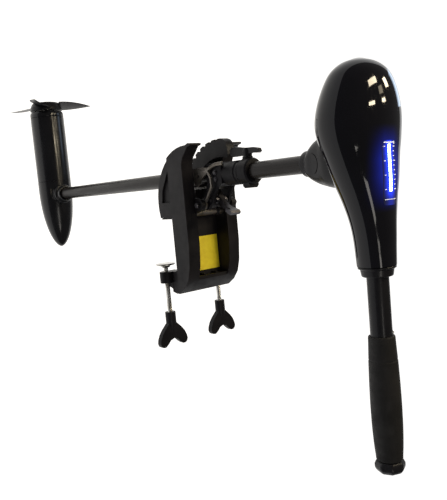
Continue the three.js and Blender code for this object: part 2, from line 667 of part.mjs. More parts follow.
// How flat the head is, and how high its middle runs, at a distance y.
const headFlatness = (y) => THREE.MathUtils.clamp(0.72 + (120 - y) * 0.00175, 0.72, 1);
const headMiddle = (y) => HANDLE_Z - 15.8 * THREE.MathUtils.smoothstep(y, -10, 165)
  + 8 * THREE.MathUtils.smoothstep(y, 140, 246);
const seamAt = (y) => 352 + (150 - y) * 0.2;

function headLoft(inset, steps = 14, sides = 24) {
  const rings = [];
  for (let i = 0; i <= steps; i += 1) {
    const { x: y, y: half } = HEAD_SPINE.getPoint(i / steps);
    const a = half - inset;
    if (a < 2) break;
    const b = half * headFlatness(y) - inset;
    const shifted = y - (i > steps - 4 ? inset * ((i - steps + 4) / 4) : 0);
    rings.push(roundRing(a, b, (x, z) => v3(x, shifted, headMiddle(y) + z), 2.1, sides));
  }
  return loft(rings);
}

function aboveSeam(lift) {
  return plate([[-90, seamAt(-90) + lift], [300, seamAt(300) + lift], [300, 520], [-90, 520]],
    'x', -120, 120);
}

const headNoseBore = () => rod('y', TILLER_R + 4, -60, -30, [0, 0, HANDLE_Z], 24);

function displayWindow(grow) {
  const outline = roundRing(15 + grow, 43.5 + grow, (x, y) => [x, 87.5 + y], 8, 16);
  return plate(outline, 'z', 405, 470);
}

const LED_COUNT = 10;
const LED_PITCH = 6.4;
const ledY = (i) => 65.5 + i * LED_PITCH;
const headTop = (y) => headMiddle(y) + headFlatness(y) * halfWidthAt(y);

// The head's half-width at a distance y, by bisection along its spine.
function halfWidthAt(y) {
  let [low, high] = [0, 1];
  for (let i = 0; i < 30; i += 1) {
    const middle = (low + high) / 2;
    if (HEAD_SPINE.getPoint(middle).x < y) low = middle;
    else high = middle;
  }
  return HEAD_SPINE.getPoint(low).y;
}

function headCover() {
  const shell = cut(headLoft(0), headLoft(HEAD_WALL, 9, 16));
  const recess = displayWindow(GAP).subtract(headLoft(1.9));
  const slot = block([-5, 60, 400], [5, 128, 470]);
  return cut(shell.intersect(aboveSeam(GAP / 2)), recess, slot, headNoseBore());
}

// The neck's shroud grows out of the base and carries the pivot between its two cheeks.
function neckShroud() {
  const section = (z, yLow, yHigh, halfX, power) => roundRing(
    halfX, (yHigh - yLow) / 2, (x, y) => v3(x, (yLow + yHigh) / 2 + y, z), power, 24,
  );
  return loft([
    section(304, 98, 119, 27, 3),
    section(308, 90, 127, 31, 3),
    section(315, 84, 138, 33, 3),
    section(326, 78.5, 146.5, 34.5, 3.2),
    section(338, 75, 149, 37, 3.2),
    section(352, 72, 149, 41, 3.2),
    section(372, 71, 146, 42, 3),
  ]);
}

function headBase() {
  const lower = headLoft(0).subtract(aboveSeam(-GAP / 2));
  const hollow = headLoft(HEAD_WALL, 9, 16);
  const pan = cut(lower, hollow);
  const shroud = cut(neckShroud(), hollow, aboveSeam(-GAP / 2));
  const slotHalf = KNUCKLE_HALF + 0.7;
  const slot = block([-slotHalf, 40, 290], [slotHalf, 200, 327]);
  const knuckleRoom = rod('x', KNUCKLE_R + 0.7, -slotHalf, slotHalf, [0, PIVOT_Y, PIVOT_Z], 24);
  const pinBore = rod('x', 4 + GAP, -60, 60, [0, PIVOT_Y, PIVOT_Z]);
  const faceDisc = join(
    ring('x', 15, 16.5, -50, -33.6, [0, PIVOT_Y, PIVOT_Z], 24),
    block([-50, 104, 329], [-33.4, 121, 332]),
  );
  const glandBore = rod('z', 4.3, 330, 360, [0, 165, 0], 16);
  return cut(join(pan, shroud), slot, knuckleRoom, pinBore, faceDisc, headNoseBore(), glandBore);
}

function headPieces() {
  const lens = displayWindow(0).intersect(headLoft(0)).subtract(headLoft(1.6));
  const bar = cut(headLoft(2.2), headLoft(4.4)).intersect(block([-4.4, 61, 400], [4.4, 127.4, 470]));
  const domes = [];
  for (let i = 0; i < LED_COUNT; i += 1) {
    domes.push(rod('z', 2.4, headTop(ledY(i)) - 4.2, headTop(ledY(i)) - 2, [0, ledY(i), 0], 8));
  }
  const board = block([-18, 50, 420.5], [18, 140, 422]);
  const speedSwitch = cut(
    join(block([-12, 90, HANDLE_Z - 16], [12, 104, HANDLE_Z]), rod('y', 12, 90, 104, [0, 0, HANDLE_Z])),
    rod('y', ROD_R + RUNNING, 60, 120, [0, 0, HANDLE_Z]),
  );
  const nose = cut(
    lathe([[0, HEAD_FRONT - 15], [21.6, HEAD_FRONT - 15], [22.4, HEAD_FRONT - 13.5],
      [24, HEAD_FRONT - 4.5], [27, HEAD_FRONT - 3.4], [27, HEAD_FRONT - 0.3], [TILLER_R + 3.6, HEAD_FRONT - 0.3], [TILLER_R + 3.6, HEAD_FRONT + 26],
      [0, HEAD_FRONT + 26]], 'y', [0, 0, HANDLE_Z]),
    rod('y', TILLER_R + RUNNING, -80, 0, [0, 0, HANDLE_Z], 24),
  );
  const pin = rod('x', 4, -31, 31, [0, PIVOT_Y, PIVOT_Z]);
  const gland = ring('z', 2.6, 4, 330, 349, [0, 165, 0], 16);
  return [
    piece('head_base', headBase(), BLACK_PLASTIC),
    piece('head_cover', headCover(), GLOSS_PLASTIC),
    piece('display_lens', lens, LENS),
    piece('battery_meter', join(bar, ...domes), LED),
    piece('control_board', board, BOARD),
    piece('speed_switch', speedSwitch, BLACK_PLASTIC),
    piece('head_ring', nose, BLACK_PLASTIC),
    piece('neck_pin', pin, STEEL),
    piece('cable_gland', gland, RUBBER),
  ];
}

// ---------------------------------------------------------------- tiller, about its own axis

const BUTTON_Y = -137;
const BUTTON_ANGLE = 45;

function gripBody() {
  const profile = [
    [0, GRIP_START], [18.4, GRIP_START], [19.2, GRIP_START - 1.5], [19.6, GRIP_START - 12],
    [20.8, -175], [21.9, -205], [22.5, -240], [22.2, -275], [20.9, -303], [19.6, -318], [19.4, -324],
    [0, -324],
  ];
  return cut(
    lathe(profile, 'y'),
    rod('y', TILLER_R + RUNNING, -162, -100, [0, 0, 0], 24),
    rod('y', ROD_R + GAP, -318.5, -100),
  );
}

function tillerPieces() {
  const tubeWall = ring('y', 13.2, TILLER_R, -161, 26, [0, 0, 0], 24);
  const outward = (solid) => solid.rotate([0, -BUTTON_ANGLE, 0]).translate([0, BUTTON_Y, 0]);
  const button = outward(lathe([[0, 11.6], [4.2, 11.6], [4.2, 12.4], [2.6, 12.4], [2.6, 16.6],
    [1.8, 17.6], [0, 17.8]], 'x', [0, 0, 0], 16));
  const cap = lathe([[0, -324.3], [19.8, -324.3], [22.6, -330], [22.6, -336], [18.5, -341.5],
    [14, GRIP_END], [0, GRIP_END]], 'y', [0, 0, 0], 8);
  const pieces = [
    piece('tiller_tube', cut(tubeWall, outward(rod('x', 2.6 + GAP, 5, 25, [0, 0, 0], 16))), BLACK_PLASTIC),
    piece('snap_button', button, STEEL),
    piece('grip', gripBody(), RUBBER),
    piece('grip_cap', cap, BLACK_PLASTIC),
    piece('throttle_rod', rod('y', ROD_R, -318, 168), CAST_ALLOY),
  ];
  return pieces;
}

// ---------------------------------------------------------------- assembly

const motor = new THREE.Group();
motor.add(...bracketPieces());
motor.add(...clampPieces('left', -CLAMP_X), ...clampPieces('right', CLAMP_X));
motor.add(...swivelPieces());
motor.add(piece('depth_collar', depthCollar(), BLACK_PLASTIC));
motor.add(piece('collar_knob', collarKnob(), BLACK_PLASTIC));
motor.add(...shaftPieces());

const lowerUnit = new THREE.Group();
lowerUnit.position.set(0, SHAFT_Y, MOTOR_Z);
lowerUnit.add(...lowerUnitPieces(), ...rotorPieces());
motor.add(lowerUnit);

motor.add(...headPieces());

const tiller = new THREE.Group();
tiller.position.set(0, 0, HANDLE_Z);
tiller.add(...tillerPieces());
motor.add(tiller);

export default motor;
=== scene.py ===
# Looks of a transom-mount trolling motor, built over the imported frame. +Z is up and +Y is aft.
# Shapes are drawn in millimetres, and make() turns them into metres.

import json
import math

import bmesh
import bpy
from mathutils import Matrix, Vector


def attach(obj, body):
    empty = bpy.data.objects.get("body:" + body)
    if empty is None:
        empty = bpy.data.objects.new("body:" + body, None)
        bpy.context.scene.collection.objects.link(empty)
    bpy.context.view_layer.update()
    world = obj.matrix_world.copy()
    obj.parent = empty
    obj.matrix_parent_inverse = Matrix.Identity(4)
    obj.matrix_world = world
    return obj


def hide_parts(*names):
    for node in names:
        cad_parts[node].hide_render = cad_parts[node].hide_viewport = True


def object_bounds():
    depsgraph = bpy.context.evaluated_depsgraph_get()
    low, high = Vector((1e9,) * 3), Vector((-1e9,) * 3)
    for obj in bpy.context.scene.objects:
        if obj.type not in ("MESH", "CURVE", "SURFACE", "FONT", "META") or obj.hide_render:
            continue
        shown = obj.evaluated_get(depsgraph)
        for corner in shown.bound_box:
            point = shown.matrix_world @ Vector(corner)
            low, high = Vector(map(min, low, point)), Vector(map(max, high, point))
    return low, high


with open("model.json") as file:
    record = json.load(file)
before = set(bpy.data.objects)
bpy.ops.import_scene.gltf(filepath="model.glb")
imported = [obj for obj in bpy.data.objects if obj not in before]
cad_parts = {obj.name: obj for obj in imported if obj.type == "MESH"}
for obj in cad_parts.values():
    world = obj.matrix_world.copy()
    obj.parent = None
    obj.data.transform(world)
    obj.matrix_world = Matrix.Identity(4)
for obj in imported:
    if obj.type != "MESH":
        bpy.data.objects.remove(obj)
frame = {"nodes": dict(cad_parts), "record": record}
cad_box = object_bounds()

# ------------------------------------------------------------------ dimensions, in millimetres

MM = 0.001
SHAFT_Y = 112
SHAFT_R = 14.3
SHAFT_AXIS = (0, SHAFT_Y, 0)
MOTOR_Z = -603
UNIT_CENTRE = (0, SHAFT_Y, MOTOR_Z)
HOUSING_R = 41.8
NOSE_TIP = -137
NOSE_END = 10
BOSS_R = 24
BOSS_FILLET_R = 5.5
PROP_R = 122
PROP_Y = 229
BLADE_ROOT_R = 30
BLADE_ANGLES = (14, 134, 254)
NECK_Z = 286
NECK_COLLAR_TOP = NECK_Z + 21.6
PIVOT_Y = 110
PIVOT_Z = 324
PIVOT = (0, PIVOT_Y, PIVOT_Z)
CLAMP_X = 61
CLAMP_Z = -34
SCREW_R = 4.8
SCREW_PITCH = 1.5875

HANDLE_Z = 402.8
HANDLE = (0, 0, HANDLE_Z)
TILLER_R = 15.8
GRIP_START = -141
SLEEVE_END = -324
HEAD_POWER = 2.1
HEAD_WALL = 2.6
SEAM_NORMAL = (0, 0.2, 1)
SEAM_OFFSET = 382
SEAM = 0.15
SKIN = 0.12
# [y, half-width] from the tiller's end to the crown
HEAD_SPINE = [(-40, 27.5), (-4, 30.8), (24, 35), (52, 42), (80, 51.2), (107, 59.4), (133, 67), (160, 70.7),
              (186, 67.3), (213, 57.5), (229, 47), (240, 31.5), (246.5, 11)]
# [height, front, back, half-width] of the neck shroud, from the bottom up
SHROUD = [(304, 99.5, 117.5, 26), (306, 94, 123, 29.5), (308, 90, 127, 31), (315, 84, 138, 33),
          (326, 78.5, 146.5, 34.5), (338, 75, 149, 37), (352, 72, 149, 41), (372, 71, 146, 42)]

WINDOW_Y = 87.5
WINDOW_HALF = (15, 43.5)
WINDOW_POWER = 8
# Heights between which the window is cut
WINDOW_CUT = (405, 470)
METER_BARS = 10
METER_START = 62.6
METER_STEP = 6.4
METER_BAR = 5.6
METER_MIDDLE = METER_START + ((METER_BARS - 1) * METER_STEP + METER_BAR) / 2
LENS_INSET = SKIN + 0.12
PRINT_INSET = SKIN + 0.08
PRINT_THICKNESS = 0.2

# Stage, lamps and camera, in metres
FLOOR_DROP = 0.5
FLOOR_HALF = 60
FLOOR_THICKNESS = 0.01
FLOOR_GLOW = 0.9
WORLD_LIGHT = 0.14
WARM = (1.0, 0.86, 0.62)
COOL = (0.62, 0.78, 1.0)
HEAD_CROWN = (-0.01, 0.20, 0.435)
# [name, place, target, size, energy, colour]
LAMPS = [
    ("key", (-1.2, -1.4, 2.6), (0, 0.1, 0), (0.5, 1.6), 16, (1.0, 0.95, 0.88)),
    ("window_left", (0.60, 0.93, 1.60), HEAD_CROWN, (0.55, 0.20), 13, WARM),
    ("window_right", (1.22, 0.74, 1.12), HEAD_CROWN, (0.20, 0.20), 4, WARM),
    ("window_low", (0.44, 0.46, 1.84), HEAD_CROWN, (0.36, 0.08), 5, WARM),
    ("window_low_right", (1.05, 0.46, 1.46), HEAD_CROWN, (0.20, 0.07), 2, WARM),
    ("doorway", (0.97, 0.66, 1.48), HEAD_CROWN, (0.24, 0.16), 0.7, WARM),
    ("skylight", (1.47, 0.57, 0.30), HEAD_CROWN, (0.5, 0.45), 2.2, COOL),
]
CAMERA_PLACE = (-0.7128, 0.0851, 0.9323)
CAMERA_FORWARD = (0.633, -0.097, -0.768)
CAMERA_UP = (0.131, 0.991, -0.017)
# Sensor and lens in millimetres
SENSOR_WIDTH = 36
FOCAL_LENGTH = 44.465

# Angles in degrees
SMOOTH_ANGLE = 35
BEVEL_ANGLE = 28
# Share of a metal's colour that is left where it is stained
TARNISH = (0.55, 0.528, 0.484)
# The two directions across each axis, then the one along it
AXES = {"x": (1, 2, 0), "y": (2, 0, 1), "z": (0, 1, 2)}

# ------------------------------------------------------------------ mesh making


def lattice(rings, closed_ends=True):
    """Faces over rings of equal length, whose ends are poles, flat faces or open."""
    verts = [point for ring in rings for point in ring]
    faces = []
    start = 0
    for ring, after in zip(rings, rings[1:]):
        here, there = start, start + len(ring)
        count = max(len(ring), len(after))
        for i in range(count):
            j = (i + 1) % count
            if len(ring) == 1:
                faces.append((here, there + j, there + i))
            elif len(after) == 1:
                faces.append((here + i, here + j, there))
            else:
                faces.append((here + i, here + j, there + j, there + i))
        start += len(ring)
    if closed_ends:
        if len(rings[0]) > 1:
            faces.append(tuple(range(len(rings[0])))[::-1])
        if len(rings[-1]) > 1:
            faces.append(tuple(range(start, start + len(rings[-1]))))
    return verts, faces


def revolve(profile, axis, centre=(0, 0, 0), segments=72, closed_ends=True):
    """A body of revolution from [radius, distance along the axis] points."""
    a, b, along = AXES[axis]
    rings = []
    for radius, distance in profile:
        ring = []
        for i in range(1 if radius < 1e-6 else segments):
            angle = 2 * math.pi * i / segments
            point = [0, 0, 0]
            point[a] = radius * math.cos(angle)
            point[b] = radius * math.sin(angle)
            point[along] = distance
            ring.append(tuple(p + c for p, c in zip(point, centre)))
        rings.append(ring)
    return lattice(rings, closed_ends)


def tube_wall(inner, outer, low, high, axis, centre=(0, 0, 0), segments=72, edge=0.5):
    """A round wall with small bevels at its four rims."""
    profile = [(inner, low + edge), (inner + edge, low), (outer - edge, low), (outer, low + edge),
               (outer, high - edge), (outer - edge, high), (inner + edge, high), (inner, high - edge),
               (inner, low + edge)]
    return revolve(profile, axis, centre, segments, closed_ends=False)


def rounded(profile, radius, steps=4):
    """The profile with every corner rounded but its two ends."""
    result = [profile[0]]
    for before, corner, after in zip(profile, profile[1:], profile[2:]):
        here = Vector(corner)
        back = Vector(before) - here
        ahead = Vector(after) - here
        reach = min(radius, back.length * 0.45, ahead.length * 0.45)
        if reach < 1e-4:
            result.append(corner)
            continue
        start = here + back.normalized() * reach
        end = here + ahead.normalized() * reach
        for i in range(steps + 1):
            t = i / steps
            result.append(tuple((1 - t) ** 2 * start + 2 * t * (1 - t) * here + t * t * end))
    result.append(profile[-1])
    return result


def prism(outline, axis, low, high):
    """An outline pushed along an axis: [y, z] along x, [x, z] along y, [x, y] along z."""
    order = {"x": lambda p, d: (d, p[0], p[1]), "y": lambda p, d: (p[0], d, p[1]),
             "z": lambda p, d: (p[0], p[1], d)}[axis]
    return lattice([[order(p, low) for p in outline], [order(p, high) for p in outline]])


def box_mesh(low, high):
    """A box between two opposite corners."""
    corners = [(low[0], low[1]), (high[0], low[1]), (high[0], high[1]), (low[0], high[1])]
    return prism(corners, "z", low[2], high[2])


def make(name, *parts, smooth=SMOOTH_ANGLE):
    """One object from (vertices, faces) lists in millimetres, smooth up to an angle."""
    mesh = bpy.data.meshes.new(name)
    work = bmesh.new()
    for verts, faces in parts:
        made = [work.verts.new(Vector(v) * MM) for v in verts]
        for face in faces:
            corners = [made[i] for i in face]
            if len(set(corners)) > 2 and work.faces.get(corners) is None:
                work.faces.new(corners)
    bmesh.ops.remove_doubles(work, verts=work.verts, dist=1e-6)
    bmesh.ops.recalc_face_normals(work, faces=work.faces)
    work.to_mesh(mesh)
    work.free()
    soften(mesh, smooth)
    thing = bpy.data.objects.new(name, mesh)
    bpy.context.scene.collection.objects.link(thing)
    return thing


def soften(mesh, angle=SMOOTH_ANGLE):
    """Shades the mesh smooth, except at edges sharper than the angle."""
    mesh.shade_smooth()
    mesh.set_sharp_from_angle(angle=math.radians(angle))


def bevel(thing, width, segments):
    """Rounds the sharp edges, width in millimetres."""
    tool = thing.modifiers.new("edges", "BEVEL")
    tool.width = width * MM
    tool.segments = segments
    tool.limit_method = "ANGLE"
    tool.angle_limit = math.radians(BEVEL_ANGLE)
    tool.use_clamp_overlap = True
    tool.harden_normals = True


def settle(thing):
    """Applies the object's modifiers."""
    graph = bpy.context.evaluated_depsgraph_get()
    mesh = bpy.data.meshes.new_from_object(thing.evaluated_get(graph))
    thing.modifiers.clear()
    thing.data = mesh
    soften(mesh)


def carve(thing, *cutters, operation="DIFFERENCE"):
    """Cuts the object with others, which are used up."""
    for cutter in cutters:
        tool = thing.modifiers.new("cut", "BOOLEAN")
        tool.operation = operation
        tool.solver = "EXACT"
        tool.object = cutter
    settle(thing)
    for cutter in cutters:
        bpy.data.objects.remove(cutter)


def keep_side(thing, normal, offset, above=True):
    """Cuts along a plane normal.p = offset (millimetres) and keeps one side, open."""
    work = bmesh.new()
    work.from_mesh(thing.data)
    direction = Vector(normal).normalized()
    point = Vector(normal) * (offset * MM / Vector(normal).length_squared)
    geometry = work.verts[:] + work.edges[:] + work.faces[:]
    bmesh.ops.bisect_plane(work, geom=geometry, dist=1e-7, plane_co=point, plane_no=direction,
                           clear_inner=above, clear_outer=not above)
    work.to_mesh(thing.data)
    work.free()
    soften(thing.data)


def shell(thing, thickness):
    """Gives an open skin a wall, growing inwards."""
    tool = thing.modifiers.new("wall", "SOLIDIFY")
    tool.thickness = thickness * MM
    tool.offset = -1
    settle(thing)


def finish(thing, material, body, slot, *replaced):
    """Gives the object its material and body, in place of the CAD nodes named; the slot is not used."""
    thing.data.materials.clear()
    thing.data.materials.append(material)
    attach(thing, body)
    if replaced:
        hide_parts(*replaced)


NODE_BODY = {node: body for body, nodes in frame["record"]["behaviour"]["bodies"].items() for node in nodes}
NODE_SLOT = {entry["node"]: entry["material_slot"] for entry in frame["record"]["subparts"]}


def refine(node, material, width, segments=2):
    """A cleaned copy of a CAD node, with its flat faces merged and its edges rounded."""
    mesh = frame["nodes"][node].data.copy()
    work = bmesh.new()
    work.from_mesh(mesh)
    bmesh.ops.remove_doubles(work, verts=work.verts, dist=2e-6)
    bmesh.ops.dissolve_limit(work, angle_limit=math.radians(1.5), verts=work.verts, edges=work.edges)
    work.to_mesh(mesh)
    work.free()
    if mesh.has_custom_normals:
        mesh.attributes.remove(mesh.attributes["custom_normal"])
    soften(mesh)
    thing = bpy.data.objects.new(node + "_finish", mesh)
    bpy.context.scene.collection.objects.link(thing)
    if width:
        bevel(thing, width, segments)
    finish(thing, material, NODE_BODY[node], NODE_SLOT[node], node)


# ------------------------------------------------------------------ materials


class Look:
    """A node material under construction."""

    def __init__(self, name):
        self.material = bpy.data.materials.new(name)
        self.material.use_nodes = True
        self.nodes = self.material.node_tree.nodes
        self.links = self.material.node_tree.links
        self.shader = self.nodes["Principled BSDF"]
        self.place = self.nodes.new("ShaderNodeTexCoord").outputs["Object"]

    def axes(self):
        """The object's own X, Y and Z, in metres."""
        split = self.nodes.new("ShaderNodeSeparateXYZ")
        self.links.new(self.place, split.inputs["Vector"])
        return split.outputs

    def noise(self, scale, detail, stretch=(1, 1, 1), rough=0.55):
        mapping = self.nodes.new("ShaderNodeMapping")
        mapping.inputs["Scale"].default_value = stretch
        self.links.new(self.place, mapping.inputs["Vector"])
        noise = self.nodes.new("ShaderNodeTexNoise")
        noise.inputs["Scale"].default_value = scale
        noise.inputs["Detail"].default_value = detail
        noise.inputs["Roughness"].default_value = rough
        self.links.new(mapping.outputs["Vector"], noise.inputs["Vector"])
        return noise.outputs["Fac"]

    def cells(self, scale):
        cells = self.nodes.new("ShaderNodeTexVoronoi")
        cells.inputs["Scale"].default_value = scale
        self.links.new(self.place, cells.inputs["Vector"])
        return cells.outputs["Distance"]

    def spread(self, value, low, high, start=0.3, end=0.7):
        """The value's stretch from start to end, mapped to low to high."""
        ramp = self.nodes.new("ShaderNodeMapRange")
        ramp.inputs["From Min"].default_value = start
        ramp.inputs["From Max"].default_value = end
        ramp.inputs["To Min"].default_value = low
        ramp.inputs["To Max"].default_value = high
        self.links.new(value, ramp.inputs["Value"])
        return ramp.outputs["Result"]

    def colours(self, value, *stops):
        ramp = self.nodes.new("ShaderNodeValToRGB")
        while len(ramp.color_ramp.elements) < len(stops):
            ramp.color_ramp.elements.new(0.5)
        for element, (position, colour) in zip(ramp.color_ramp.elements, stops):
            element.position = position
            element.color = (*colour, 1)
        self.links.new(value, ramp.inputs["Fac"])
        return ramp.outputs["Color"]

    def math(self, operation, first, second=0.0):
        node = self.nodes.new("ShaderNodeMath")
        node.operation = operation
        for socket, value in zip(node.inputs, (first, second)):
            if isinstance(value, (int, float)):
                socket.default_value = value
            else:
                self.links.new(value, socket)
        return node.outputs["Value"]

    def product(self, first, *others):
        for other in others:
            first = self.math("MULTIPLY", first, other)
        return first

    def distance_from(self, value, centre=0.0):
        """How far the value lies from the centre, to either side."""
        return self.math("ABSOLUTE", self.math("SUBTRACT", value, centre))

    def bump(self, value, distance, strength):
        """Relief of the value, with the distance in millimetres."""
        bump = self.nodes.new("ShaderNodeBump")
        bump.inputs["Distance"].default_value = distance * MM
        bump.inputs["Strength"].default_value = strength
        self.links.new(value, bump.inputs["Height"])
        self.links.new(bump.outputs["Normal"], self.shader.inputs["Normal"])

    def set(self, **values):
        """Sets or links the shader's inputs, named with underscores for spaces."""
        for name, value in values.items():
            socket = self.shader.inputs[name.replace("_", " ")]
            if isinstance(value, bpy.types.NodeSocket):
                self.links.new(value, socket)
            else:
                socket.default_value = value


def scaled(colour, factor):
    return tuple(channel * factor for channel in colour)


def moulded(name, dark, light, rough, grain=900, depth=0.03, coat=0.0):
    """Black moulded plastic: cloudy tone, fine spark-eroded grain and rubbed patches."""
    look = Look(name)
    cloud = look.noise(22, 5)
    grain_field = look.noise(grain, 3)
    look.set(
        Base_Color=look.colours(cloud, (0.3, dark), (0.72, light)),
        Roughness=look.spread(look.noise(60, 5), rough - 0.07, rough + 0.09),
        Specular_IOR_Level=0.12,
        Coat_Weight=coat,
        Coat_Roughness=0.12,
    )
    look.bump(grain_field, depth, 0.6)
    return look.material


def polished(name, colour, rough=0.07):
    """Glossy black moulding with hairline scuffs, lit blue round the display window."""
    look = Look(name)
    axes = look.axes()
    aside = look.distance_from(axes["X"])
    along = look.distance_from(axes["Y"], METER_MIDDLE * MM)
    near = look.math("POWER", look.spread(aside, 1.0, 0.0, 0.010, 0.042), 2.4)
    within = look.math("POWER", look.spread(along, 1.0, 0.0, 0.012, 0.060), 1.6)
    above = look.spread(axes["Z"], 0.0, 1.0, 0.405, 0.425)
    scuffs = look.noise(340, 6, (1, 0.12, 1), 0.7)
    look.set(
        Base_Color=look.colours(look.noise(14, 3), (0.35, colour), (0.7, scaled(colour, 1.6))),
        Roughness=look.spread(scuffs, rough - 0.03, rough + 0.07, 0.45, 0.72),
        Specular_IOR_Level=0.2,
        Coat_Weight=0.12,
        Coat_Roughness=0.03,
        Emission_Color=(0.02, 0.05, 1.0, 1),
        Emission_Strength=look.product(near, within, above, 0.42),
    )
    look.bump(look.noise(26, 2), 0.05, 0.5)
    return look.material


def painted(name, colour, rough):
    """Sprayed enamel over metal, with orange peel and a few dull rubs."""
    look = Look(name)
    rubs = look.noise(38, 6, (1, 0.4, 1), 0.62)
    look.set(
        Base_Color=look.colours(rubs, (0.3, colour), (0.75, scaled(colour, 1.9))),
        Roughness=look.spread(rubs, rough - 0.05, rough + 0.14, 0.35, 0.75),
        Specular_IOR_Level=0.25,
        Coat_Weight=0.1,
        Coat_Roughness=0.12,
    )
    look.bump(look.noise(520, 2), 0.03, 0.35)
    return look.material


def metal(name, colour, rough, depth=0.02):
    """Metal with a little tarnish and fine scratches."""
    look = Look(name)
    streaks = look.noise(240, 6, rough=0.7)
    stained = tuple(channel * share for channel, share in zip(colour, TARNISH))
    look.set(
        Base_Color=look.colours(look.noise(45, 6), (0.34, stained), (0.55, colour)),
        Metallic=1.0,
        Roughness=look.spread(streaks, rough - 0.08, rough + 0.16, 0.35, 0.7),
    )
    look.bump(streaks, depth, 0.5)
    return look.material


def rubbery(name, dark, light, grain=1400):
    """Matt rubber with a pebbled skin and pale dusting."""
    look = Look(name)
    look.set(
        Base_Color=look.colours(look.noise(30, 6), (0.35, dark), (0.75, light)),
        Roughness=look.spread(look.noise(75, 4), 0.55, 0.8),
        Specular_IOR_Level=0.15,
        Sheen_Weight=0.03,
    )
    look.bump(look.cells(grain), 0.05, 0.6)
    return look.material


def pultruded():
    """Dark warm composite tube: fine lengthwise fibre and a soft sheen."""
    look = Look("shaft_composite")
    fibre = look.noise(420, 5, (1, 1, 0.02), 0.65)
    look.set(
        Base_Color=look.colours(fibre, (0.3, (0.0055, 0.0044, 0.0040)), (0.72, (0.013, 0.0100, 0.0090))),
        Roughness=look.spread(look.noise(90, 5, (1, 1, 0.2)), 0.26, 0.42),
        Specular_IOR_Level=0.16,
        Coat_Weight=0.05,
        Coat_Roughness=0.15,
    )
    look.bump(fibre, 0.03, 0.5)
    return look.material


def label_film():
    """Plain yellow film with slight fading and creases."""
    look = Look("label_film")
    look.set(
        Base_Color=look.colours(look.noise(55, 5), (0.3, (0.62, 0.47, 0.005)), (0.7, (0.80, 0.66, 0.02))),
        Roughness=look.spread(look.noise(120, 3), 0.4, 0.6),
    )
    look.bump(look.noise(160, 3), 0.05, 0.4)
    return look.material


def lit_bar():
    """Bluish-white light of the battery meter, brighter down its middle."""
    look = Look("led_light")
    aside = look.distance_from(look.axes()["X"])
    core = look.spread(aside, 1.0, 0.0, 0.0005, 0.0042)
    grain = look.spread(look.noise(500, 2), 0.8, 1.15)
    look.set(
        Base_Color=(0.5, 0.65, 1.0, 1),
        Roughness=0.35,
        Emission_Color=look.colours(core, (0.0, (0.01, 0.05, 1.0)), (0.75, (0.45, 0.62, 1.0))),
        Emission_Strength=look.product(look.spread(core, 7.0, 15.0, 0.0, 1.0), grain),
    )
    return look.material


def smoked_lens():
    """Dark display window that carries a blue glow on both sides of the lit bar."""
    look = Look("smoked_lens")
    axes = look.axes()
    aside = look.distance_from(axes["X"])
    along = look.distance_from(axes["Y"], METER_MIDDLE * MM)
    near = look.math("POWER", look.spread(aside, 1.0, 0.12, 0.003, 0.0155), 2.2)
    within = look.spread(along, 1.0, 0.15, 0.026, 0.043)
    mottle = look.spread(look.noise(260, 3), 0.75, 1.2)
    tone = look.colours(look.noise(30, 3), (0.3, (0.004, 0.004, 0.006)), (0.7, (0.007, 0.007, 0.011)))
    look.set(
        Base_Color=tone,
        Roughness=look.spread(look.noise(300, 4), 0.05, 0.11),
        Emission_Color=(0.012, 0.045, 1.0, 1),
        Emission_Strength=look.product(near, within, mottle, 2.2),
        Coat_Weight=0.8,
        Coat_Roughness=0.03,
    )
    return look.material


def printed(name, colour, glow=0.0):
    """Flat ink or lacquer, made to glow by the given strength as a painted highlight."""
    look = Look(name)
    look.set(
        Base_Color=look.colours(look.noise(700, 3), (0.3, scaled(colour, 0.8)), (0.6, colour)),
        Roughness=look.spread(look.noise(300, 2), 0.3, 0.45),
        Emission_Color=(*colour, 1),
        Emission_Strength=glow,
    )
    return look.material


BLACK = moulded("black_plastic", (0.0050, 0.0047, 0.0060), (0.011, 0.0100, 0.0120), 0.46)
BRACKET = moulded("bracket_plastic", (0.0060, 0.0055, 0.0068), (0.015, 0.0135, 0.0145), 0.46, 700, 0.05)
SATIN = moulded("satin_plastic", (0.0050, 0.0048, 0.0060), (0.010, 0.0096, 0.0115), 0.34, 1100, 0.02, 0.1)
GLOSS = polished("gloss_plastic", (0.0030, 0.0028, 0.0042))
PROP = moulded("prop_plastic", (0.0065, 0.0062, 0.0072), (0.013, 0.0125, 0.014), 0.36, 800, 0.02, 0.1)
PAINT = painted("black_enamel", (0.0040, 0.0040, 0.0052), 0.2)
COMPOSITE = pultruded()
GRIP = rubbery("grip_rubber", (0.0070, 0.0066, 0.0066), (0.014, 0.0132, 0.0130))
RUBBER = rubbery("black_rubber", (0.012, 0.012, 0.012), (0.03, 0.03, 0.03), 900)
STEEL = metal("plated_steel", (0.60, 0.59, 0.57), 0.3)
CAST = metal("cast_alloy", (0.30, 0.27, 0.24), 0.46, depth=0.08)
LINK_ALLOY = metal("link_alloy", (0.22, 0.20, 0.18), 0.48, depth=0.1)
DARK_STEEL = metal("blackened_steel", (0.085, 0.082, 0.09), 0.38, depth=0.04)
BRASS = metal("brass", (0.66, 0.50, 0.24), 0.3)
COPPER = metal("copper", (0.72, 0.38, 0.20), 0.3)
IRON = metal("dark_iron", (0.16, 0.16, 0.17), 0.5)
BOARD = printed("solder_resist", (0.02, 0.13, 0.06))
# The white ink glows a little: a painted highlight of glare on the marks.
INK_WITH_PAINTED_GLARE = printed("white_ink_painted_glare", (0.75, 0.78, 0.82), 0.7)
LABEL = label_film()
LED = lit_bar()
LENS = smoked_lens()

# ------------------------------------------------------------------ lower unit


def nose_profile(steps=48):
    """The bullet curve, from the tip to where the housing runs straight."""
    length = NOSE_END - NOSE_TIP
    points = []
    for i in range(steps + 1):
        y = NOSE_END - length * math.sin((1 - i / steps) * math.pi / 2)
        t = (NOSE_END - y) / length
        points.append((HOUSING_R * max(0.0, 1 - t * t) ** 0.55, y))
    return points


